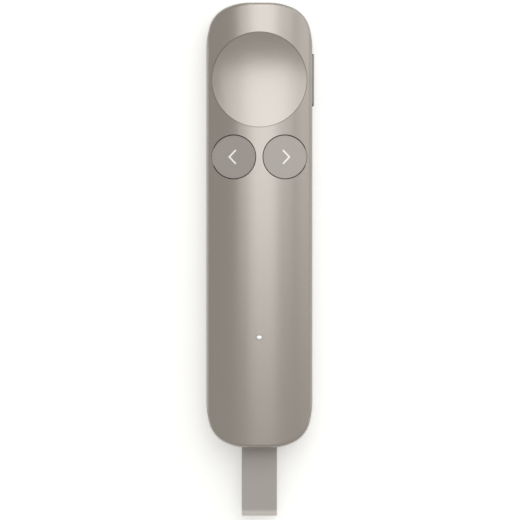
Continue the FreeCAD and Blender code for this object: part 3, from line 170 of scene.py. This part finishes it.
def soft_tone_group():
    """Two close tones of one colour, in broad soft patches."""
    inputs = [("Tone A", "NodeSocketColor"), ("Tone B", "NodeSocketColor"), ("Scale", "NodeSocketFloat")]
    group, source, result = node_group("soft_tone", inputs, [("Color", "NodeSocketColor")])
    nodes, links = group.nodes, group.links
    where = nodes.new("ShaderNodeTexCoord")
    broad = nodes.new("ShaderNodeTexNoise")
    broad.inputs["Detail"].default_value = TONE_DETAIL
    links.new(where.outputs["Object"], broad.inputs["Vector"])
    links.new(source.outputs["Scale"], broad.inputs["Scale"])
    mix = nodes.new("ShaderNodeMix")
    mix.data_type = "RGBA"
    links.new(broad.outputs["Fac"], mix.inputs["Factor"])
    links.new(source.outputs["Tone A"], mix.inputs["A"])
    links.new(source.outputs["Tone B"], mix.inputs["B"])
    links.new(mix.outputs["Result"], result.inputs["Color"])
    return group


GRAIN = blasted_grain_group()
TONE = soft_tone_group()


def finish_material(name, tones, gloss, gloss_change=GLOSS_CHANGE, grain_scale=GRAIN_SCALE,
                    grain_height=GRAIN_HEIGHT, metallic=0.0, tone_scale=TONE_SCALE, **sockets):
    """A material whose colour, gloss and grain vary slightly over the surface."""
    material = bpy.data.materials.new(name)
    material.use_nodes = True
    nodes, links = material.node_tree.nodes, material.node_tree.links
    shader = nodes["Principled BSDF"]
    shader.inputs["Metallic"].default_value = metallic
    for label, value in sockets.items():
        shader.inputs[label.replace("_", " ")].default_value = value
    tone = nodes.new("ShaderNodeGroup")
    tone.node_tree = TONE
    tone.inputs["Tone A"].default_value = (*tones[0], 1)
    tone.inputs["Tone B"].default_value = (*tones[1], 1)
    tone.inputs["Scale"].default_value = tone_scale
    links.new(tone.outputs["Color"], shader.inputs["Base Color"])
    grain = nodes.new("ShaderNodeGroup")
    grain.node_tree = GRAIN
    grain.inputs["Scale"].default_value = grain_scale
    grain.inputs["Gloss"].default_value = gloss
    grain.inputs["Gloss Change"].default_value = gloss_change
    links.new(grain.outputs["Roughness"], shader.inputs["Roughness"])
    bump = nodes.new("ShaderNodeBump")
    bump.inputs["Distance"].default_value = grain_height
    links.new(grain.outputs["Height"], bump.inputs["Height"])
    links.new(bump.outputs["Normal"], shader.inputs["Normal"])
    return material


def lit_lens_material():
    """The status light's milky lens, which glows from its middle and fades towards its rim."""
    material = finish_material("lit_lens", ((0.40, 0.385, 0.365), (0.43, 0.415, 0.395)), 0.35,
                               Emission_Color=(1.0, 1.0, 0.98, 1))
    nodes, links = material.node_tree.nodes, material.node_tree.links
    low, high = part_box("light_pipe")
    middle = (low + high) / 2
    where = nodes.new("ShaderNodeTexCoord")
    spread = nodes.new("ShaderNodeMapping")
    spread.inputs["Scale"].default_value = [1 / reach for reach in GLOW_REACH]
    spread.inputs["Location"].default_value = [-c / reach for c, reach in zip(middle, GLOW_REACH)]
    links.new(where.outputs["Object"], spread.inputs["Vector"])
    far = nodes.new("ShaderNodeVectorMath")
    far.operation = "LENGTH"
    links.new(spread.outputs["Vector"], far.inputs[0])
    fade = nodes.new("ShaderNodeMapRange")
    fade.interpolation_type = "SMOOTHERSTEP"
    fade.inputs["From Min"].default_value = GLOW_CORE
    fade.inputs["From Max"].default_value = 1.0
    fade.inputs["To Min"].default_value = GLOW_STRENGTH
    fade.inputs["To Max"].default_value = 0.0
    links.new(far.outputs["Value"], fade.inputs["Value"])
    links.new(fade.outputs["Result"], nodes["Principled BSDF"].inputs["Emission Strength"])
    return material


def strap_material():
    """Soft silicone, with a painted highlight: paler towards the fold at the free tip, where the fold would
    catch light.
    """
    material = finish_material("strap_silicone", ((0.42, 0.394, 0.369), (0.44, 0.413, 0.387)), 0.62,
                               gloss_change=0.08, grain_scale=6000.0, grain_height=0.000006,
                               Sheen_Weight=0.15, Sheen_Roughness=0.5)
    nodes, links = material.node_tree.nodes, material.node_tree.links
    shader = nodes["Principled BSDF"]
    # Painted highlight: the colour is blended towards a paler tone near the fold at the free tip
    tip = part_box("strap_loop")[0].y
    where = nodes.new("ShaderNodeTexCoord")
    split = nodes.new("ShaderNodeSeparateXYZ")
    links.new(where.outputs["Object"], split.inputs["Vector"])
    near = nodes.new("ShaderNodeMapRange")
    near.interpolation_type = "SMOOTHSTEP"
    near.inputs["From Min"].default_value = tip + FOLD_HIGHLIGHT_START
    near.inputs["From Max"].default_value = tip + FOLD_HIGHLIGHT_FULL
    links.new(split.outputs["Y"], near.inputs["Value"])
    mix = nodes.new("ShaderNodeMix")
    mix.data_type = "RGBA"
    mix.inputs["B"].default_value = (*FOLD_HIGHLIGHT_TONE, 1)
    links.new(near.outputs["Result"], mix.inputs["Factor"])
    links.new(shader.inputs["Base Color"].links[0].from_socket, mix.inputs["A"])
    links.new(mix.outputs["Result"], shader.inputs["Base Color"])
    return material


MATERIALS = {
    "body_metal": finish_material("anodised_body", BODY_TONES, 0.25, gloss_change=0.04, metallic=1.0,
                                  Specular_Tint=(0.35, 0.34, 0.33, 1)),
    "cap_metal": finish_material("anodised_caps", BODY_TONES, 0.25, gloss_change=0.04, metallic=1.0),
    "key_metal": finish_material("anodised_keys", ((0.432, 0.400, 0.378), (0.422, 0.391, 0.369)), 0.42,
                                 gloss_change=0.04, metallic=1.0),
    "side_metal": finish_material("anodised_side_key", ((0.27, 0.253, 0.233), (0.26, 0.243, 0.224)), 0.32,
                                  gloss_change=0.04, metallic=1.0, Specular_Tint=(0.3, 0.29, 0.28, 1)),
    "tail_paint": finish_material("tail_paint", ((0.48, 0.446, 0.416), (0.465, 0.432, 0.403)), 0.32,
                                  gloss_change=0.04, metallic=0.9),
    "mark_white": finish_material("mark_enamel", ((0.95, 0.94, 0.915), (0.98, 0.97, 0.945)), 0.45),
    "black_plastic": finish_material("black_moulding", ((0.020, 0.020, 0.021), (0.028, 0.028, 0.029)), 0.5,
                                     grain_scale=5000.0, grain_height=0.000006),
    "grey_plastic": finish_material("grey_moulding", ((0.13, 0.127, 0.122), (0.16, 0.156, 0.15)), 0.48,
                                    grain_scale=4500.0, grain_height=0.000006),
    "clear_light": lit_lens_material(),
    "window": finish_material("smoked_window", ((0.018, 0.010, 0.010), (0.026, 0.014, 0.013)), 0.08,
                              gloss_change=0.02, Coat_Weight=0.6, Coat_Roughness=0.04),
    "board": finish_material("solder_mask", ((0.012, 0.075, 0.040), (0.018, 0.095, 0.050)), 0.35,
                             grain_scale=2500.0, tone_scale=180.0),
    "chip": finish_material("chip_resin", ((0.022, 0.022, 0.024), (0.030, 0.030, 0.032)), 0.55,
                            grain_scale=6000.0, grain_height=0.000005),
    "ceramic": finish_material("pale_ceramic", ((0.62, 0.66, 0.70), (0.70, 0.73, 0.76)), 0.4,
                               grain_scale=7000.0),
    "steel": finish_material("pressed_steel", ((0.60, 0.60, 0.61), (0.66, 0.66, 0.66)), 0.26,
                             gloss_change=0.08, grain_scale=3500.0, metallic=1.0),
    "screw_steel": finish_material("blackened_steel", ((0.20, 0.20, 0.21), (0.26, 0.26, 0.27)), 0.36,
                                   gloss_change=0.08, metallic=1.0),
    "brass": finish_material("turned_brass", ((0.72, 0.54, 0.26), (0.78, 0.60, 0.30)), 0.28,
                             gloss_change=0.06, metallic=1.0),
    "lens": finish_material("lens_resin", ((0.75, 0.78, 0.80), (0.80, 0.83, 0.85)), 0.05,
                            gloss_change=0.01, Transmission_Weight=0.8),
    "battery_foil": finish_material("cell_foil", ((0.64, 0.65, 0.67), (0.72, 0.72, 0.73)), 0.32,
                                    gloss_change=0.15, grain_scale=1500.0, grain_height=0.00001,
                                    metallic=0.9),
    "foam": finish_material("pad_foam", ((0.045, 0.045, 0.047), (0.075, 0.075, 0.078)), 0.9,
                            grain_scale=3000.0, grain_height=0.00008),
    "tape": finish_material("tape_film", ((0.60, 0.50, 0.12), (0.68, 0.57, 0.16)), 0.3, tone_scale=200.0),
    "lead": finish_material("lead_insulation", ((0.45, 0.03, 0.025), (0.52, 0.04, 0.03)), 0.42,
                            grain_scale=5000.0),
    "receiver_plastic": finish_material("receiver_moulding", ((0.26, 0.245, 0.23), (0.30, 0.283, 0.266)), 0.5,
                                        grain_scale=5000.0, grain_height=0.000005),
    "strap_rubber": strap_material(),
}

# Nodes whose finish differs a little from their slot's
VARIANTS = {
    "next_cap": "key_metal",
    "previous_cap": "key_metal",
    "side_cap": "side_metal",
    "receiver_tail_cap": "tail_paint",
}


def paint_nodes():
    """Gives each CAD node its slot's material, or its own variant of it."""
    slots = {part["node"]: part["material_slot"] for part in frame["record"]["subparts"]}
    for name, part in frame["nodes"].items():
        for place in part.material_slots:
            place.material = MATERIALS[VARIANTS.get(name, slots[name])]


def add_piece(name, bm, slot, body):
    """A mesh object from bm, with its slot's material, riding on a body."""
    bmesh.ops.recalc_face_normals(bm, faces=bm.faces)
    mesh = bpy.data.meshes.new(name)
    bm.to_mesh(mesh)
    bm.free()
    mesh.shade_smooth()
    piece = bpy.data.objects.new(name, mesh)
    bpy.context.scene.collection.objects.link(piece)
    mesh.materials.append(MATERIALS[slot])
    normals = piece.modifiers.new("even_normals", "WEIGHTED_NORMAL")
    normals.keep_sharp = True
    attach(piece, body)
    return piece


def of_kind(geometry, kind):
    """The verts, edges or faces among an operator's results."""
    return [g for g in geometry if isinstance(g, kind)]


def round_edges(bm, edges, radius, steps):
    """Rounds edges of a mesh."""
    bmesh.ops.bevel(bm, geom=edges, offset=radius, offset_type="OFFSET", segments=steps, profile=0.5,
                    affect="EDGES", material=-1, clamp_overlap=True)


def run_on(bm, edges, step, count):
    """Carries a loop of edges on in a straight line in count steps, and gives its last copy."""
    for _ in range(count):
        made = bmesh.ops.extrude_edge_only(bm, edges=edges)["geom"]
        verts = of_kind(made, bmesh.types.BMVert)
        bmesh.ops.translate(bm, verts=verts, vec=step)
        fresh = set(verts)
        edges = [e for e in of_kind(made, bmesh.types.BMEdge) if all(v in fresh for v in e.verts)]
    return edges


def turn_on(bm, edges, centre, angle):
    """Carries a loop of edges on round a centre, about an axis along X, and gives its last copy."""
    verts = list({v for e in edges for v in e.verts})
    made = bmesh.ops.spin(bm, geom=verts + edges, cent=centre, axis=(1, 0, 0), angle=angle,
                          steps=BAND_TURN_STEPS, use_merge=False, use_duplicate=False)
    return of_kind(made["geom_last"], bmesh.types.BMEdge)


def strap_band():
    """The rubber band, folded once round the receiver's pin and once at its free tip."""
    free_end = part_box("strap_loop")[0].y
    pin_low, pin_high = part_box("strap_pin")
    eye = (pin_low + pin_high) / 2
    outer_tip = BAND_TIP_RADIUS + BAND_THICKNESS / 2
    tip = Vector((eye.x, free_end + outer_tip, eye.z))
    reach = eye.y - tip.y
    lean = math.asin((BAND_TIP_RADIUS - BAND_EYE_RADIUS) / reach)
    up = Vector((0, math.sin(lean), math.cos(lean)))
    step = Vector((0, -math.cos(lean), math.sin(lean))) * reach * math.cos(lean) / BAND_RUN_STEPS
    bm = bmesh.new()
    bmesh.ops.create_grid(bm, x_segments=1, y_segments=1, size=0.5)
    bmesh.ops.delete(bm, geom=bm.faces, context="FACES_ONLY")
    bmesh.ops.scale(bm, vec=(BAND_WIDTH, BAND_THICKNESS, 1), verts=bm.verts)
    bmesh.ops.rotate(bm, cent=(0, 0, 0), matrix=Matrix.Rotation(math.pi / 2 - lean, 3, "X"), verts=bm.verts)
    bmesh.ops.translate(bm, vec=eye + up * BAND_EYE_RADIUS, verts=bm.verts)
    edges = run_on(bm, list(bm.edges), step, BAND_RUN_STEPS)
    edges = turn_on(bm, edges, tip, math.pi + 2 * lean)
    back = Vector((0, -step.y, step.z))
    edges = run_on(bm, edges, back, BAND_RUN_STEPS)
    turn_on(bm, edges, eye, math.pi - 2 * lean)
    bmesh.ops.remove_doubles(bm, verts=bm.verts, dist=BAND_MERGE)
    bmesh.ops.recalc_face_normals(bm, faces=bm.faces)
    corners = [e for e in bm.edges if len(e.link_faces) == 2 and e.calc_face_angle() > BAND_CORNER_ANGLE]
    round_edges(bm, corners, BAND_EDGE, BAND_EDGE_STEPS)
    piece = add_piece("strap_band", bm, "strap_rubber", "receiver")
    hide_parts("strap_loop")


def foam_pad():
    """The slab of foam that holds the battery off the back shell, with its edges rounded."""
    low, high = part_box("battery_foam")
    size, middle = high - low, (low + high) / 2
    bm = bmesh.new()
    bmesh.ops.create_cube(bm, size=1)
    bmesh.ops.scale(bm, vec=size, verts=bm.verts)
    bmesh.ops.translate(bm, vec=middle, verts=bm.verts)
    round_edges(bm, list(bm.edges), PAD_EDGE, PAD_EDGE_STEPS)
    piece = add_piece("foam_pad", bm, "foam", "housing")
    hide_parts("battery_foam")


def snap_dome(node, joint, faces_x, keep):
    """An arched strip of thin sheet under its button."""
    low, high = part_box(node)
    size, middle = high - low, (low + high) / 2
    rise, chord = (size.x, size.z) if faces_x else (size.z, size.x)
    ball = (chord * chord / 4 + rise * rise) / (2 * rise)
    turn = math.acos((ball - rise) / (ball - DOME_SHEET))
    bm = bmesh.new()
    bmesh.ops.create_grid(bm, x_segments=1, y_segments=1, size=0.5)
    bmesh.ops.scale(bm, vec=(DOME_SHEET, size.y, 1), verts=bm.verts)
    bmesh.ops.translate(bm, vec=(ball - DOME_SHEET / 2, 0, 0), verts=bm.verts)
    bmesh.ops.rotate(bm, cent=(0, 0, 0), matrix=Matrix.Rotation(turn - math.pi / 2, 3, "Y"), verts=bm.verts)
    bmesh.ops.spin(bm, geom=list(bm.verts) + list(bm.edges) + list(bm.faces), cent=(0, 0, 0), axis=(0, 1, 0),
                   angle=-2 * turn, steps=DOME_STEPS, use_merge=False, use_duplicate=False)
    bmesh.ops.translate(bm, vec=(0, 0, rise - ball), verts=bm.verts)
    facing = Vector((1, 0, 0)) if faces_x else Vector((0, 0, 1))
    if faces_x:
        bmesh.ops.rotate(bm, cent=(0, 0, 0), matrix=Matrix.Rotation(math.pi / 2, 3, "Y"), verts=bm.verts)
    foot = middle - facing * rise / 2
    bmesh.ops.translate(bm, vec=foot, verts=bm.verts)
    piece = add_piece(node.replace("dome", "snap_strip"), bm, "steel", "housing")
    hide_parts(node)
    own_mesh(piece)


def backdrop_material():
    """A matt pale sweep, lifted to white for the camera, for reflections and through clear parts."""
    material = bpy.data.materials.new("studio_sweep")
    material.use_nodes = True
    nodes, links = material.node_tree.nodes, material.node_tree.links
    shader = nodes["Principled BSDF"]
    shader.inputs["Base Color"].default_value = (*FLOOR_TONE, 1)
    shader.inputs["Roughness"].default_value = FLOOR_ROUGHNESS
    shader.inputs["Specular IOR Level"].default_value = 0.0
    rays = nodes.new("ShaderNodeLightPath")
    mirrored = nodes.new("ShaderNodeMath")
    mirrored.operation = "MAXIMUM"
    links.new(rays.outputs["Is Glossy Ray"], mirrored.inputs[0])
    links.new(rays.outputs["Is Transmission Ray"], mirrored.inputs[1])
    shown = nodes.new("ShaderNodeMath")
    shown.operation = "MAXIMUM"
    links.new(rays.outputs["Is Camera Ray"], shown.inputs[0])
    links.new(mirrored.outputs[0], shown.inputs[1])
    glow = nodes.new("ShaderNodeMath")
    glow.operation = "MULTIPLY"
    glow.inputs[1].default_value = FLOOR_GLOW
    links.new(shown.outputs[0], glow.inputs[0])
    links.new(glow.outputs[0], shader.inputs["Emission Strength"])
    shader.inputs["Emission Color"].default_value = (1, 1, 1, 1)
    return material


def studio_floor():
    """The pale floor that the clicker lies on."""
    bm = bmesh.new()
    bmesh.ops.create_grid(bm, x_segments=1, y_segments=1, size=FLOOR_HALF_SIDE)
    bmesh.ops.translate(bm, vec=(0, 0, FLOOR_HEIGHT), verts=bm.verts)
    mesh = bpy.data.meshes.new("floor")
    bm.to_mesh(mesh)
    bm.free()
    floor = bpy.data.objects.new("floor", mesh)
    bpy.context.scene.collection.objects.link(floor)
    mesh.materials.append(backdrop_material())


def studio_world():
    """Even grey light all round."""
    world = bpy.data.worlds.new("studio")
    bpy.context.scene.world = world
    world.use_nodes = True
    light = world.node_tree.nodes["Background"]
    light.inputs["Color"].default_value = (*WORLD_COLOUR, 1)
    light.inputs["Strength"].default_value = WORLD_STRENGTH


def softbox(name, radiance, size_x, size_y, place):
    """A rectangular area lamp of a given radiance, facing down."""
    lamp = bpy.data.lights.new(name, "AREA")
    lamp.shape = "RECTANGLE"
    lamp.size = size_x
    lamp.size_y = size_y
    lamp.energy = radiance * math.pi * size_x * size_y
    lamp.color = LAMP_COLOUR
    holder = bpy.data.objects.new(name, lamp)
    bpy.context.scene.collection.objects.link(holder)
    holder.location = place
    holder.visible_camera = False


def studio_camera():
    """A long lens straight above, framed as the photograph is."""
    data = bpy.data.cameras.new("camera")
    camera = bpy.data.objects.new("camera", data)
    bpy.context.scene.collection.objects.link(camera)
    data.lens = MILLIMETRES * SENSOR_WIDTH * CAMERA_DISTANCE / (PHOTO_SIDE * METRES_PER_PIXEL)
    data.sensor_width = MILLIMETRES * SENSOR_WIDTH
    data.clip_start = NEAREST_SEEN
    data.clip_end = FARTHEST_SEEN
    camera.location = (
        (PHOTO_SIDE / 2 - PHOTO_BODY_X) * METRES_PER_PIXEL,
        (PHOTO_BODY_Y - PHOTO_SIDE / 2) * METRES_PER_PIXEL,
        FOCUS_HEIGHT + CAMERA_DISTANCE,
    )
    bpy.context.scene.camera = camera


paint_nodes()
strap_band()
foam_pad()
for dome in SNAP_DOMES:
    snap_dome(*dome)
studio_floor()
studio_world()
for lamp in LAMPS:
    softbox(*lamp)
studio_camera()
bpy.context.scene.view_settings.view_transform = "Standard"
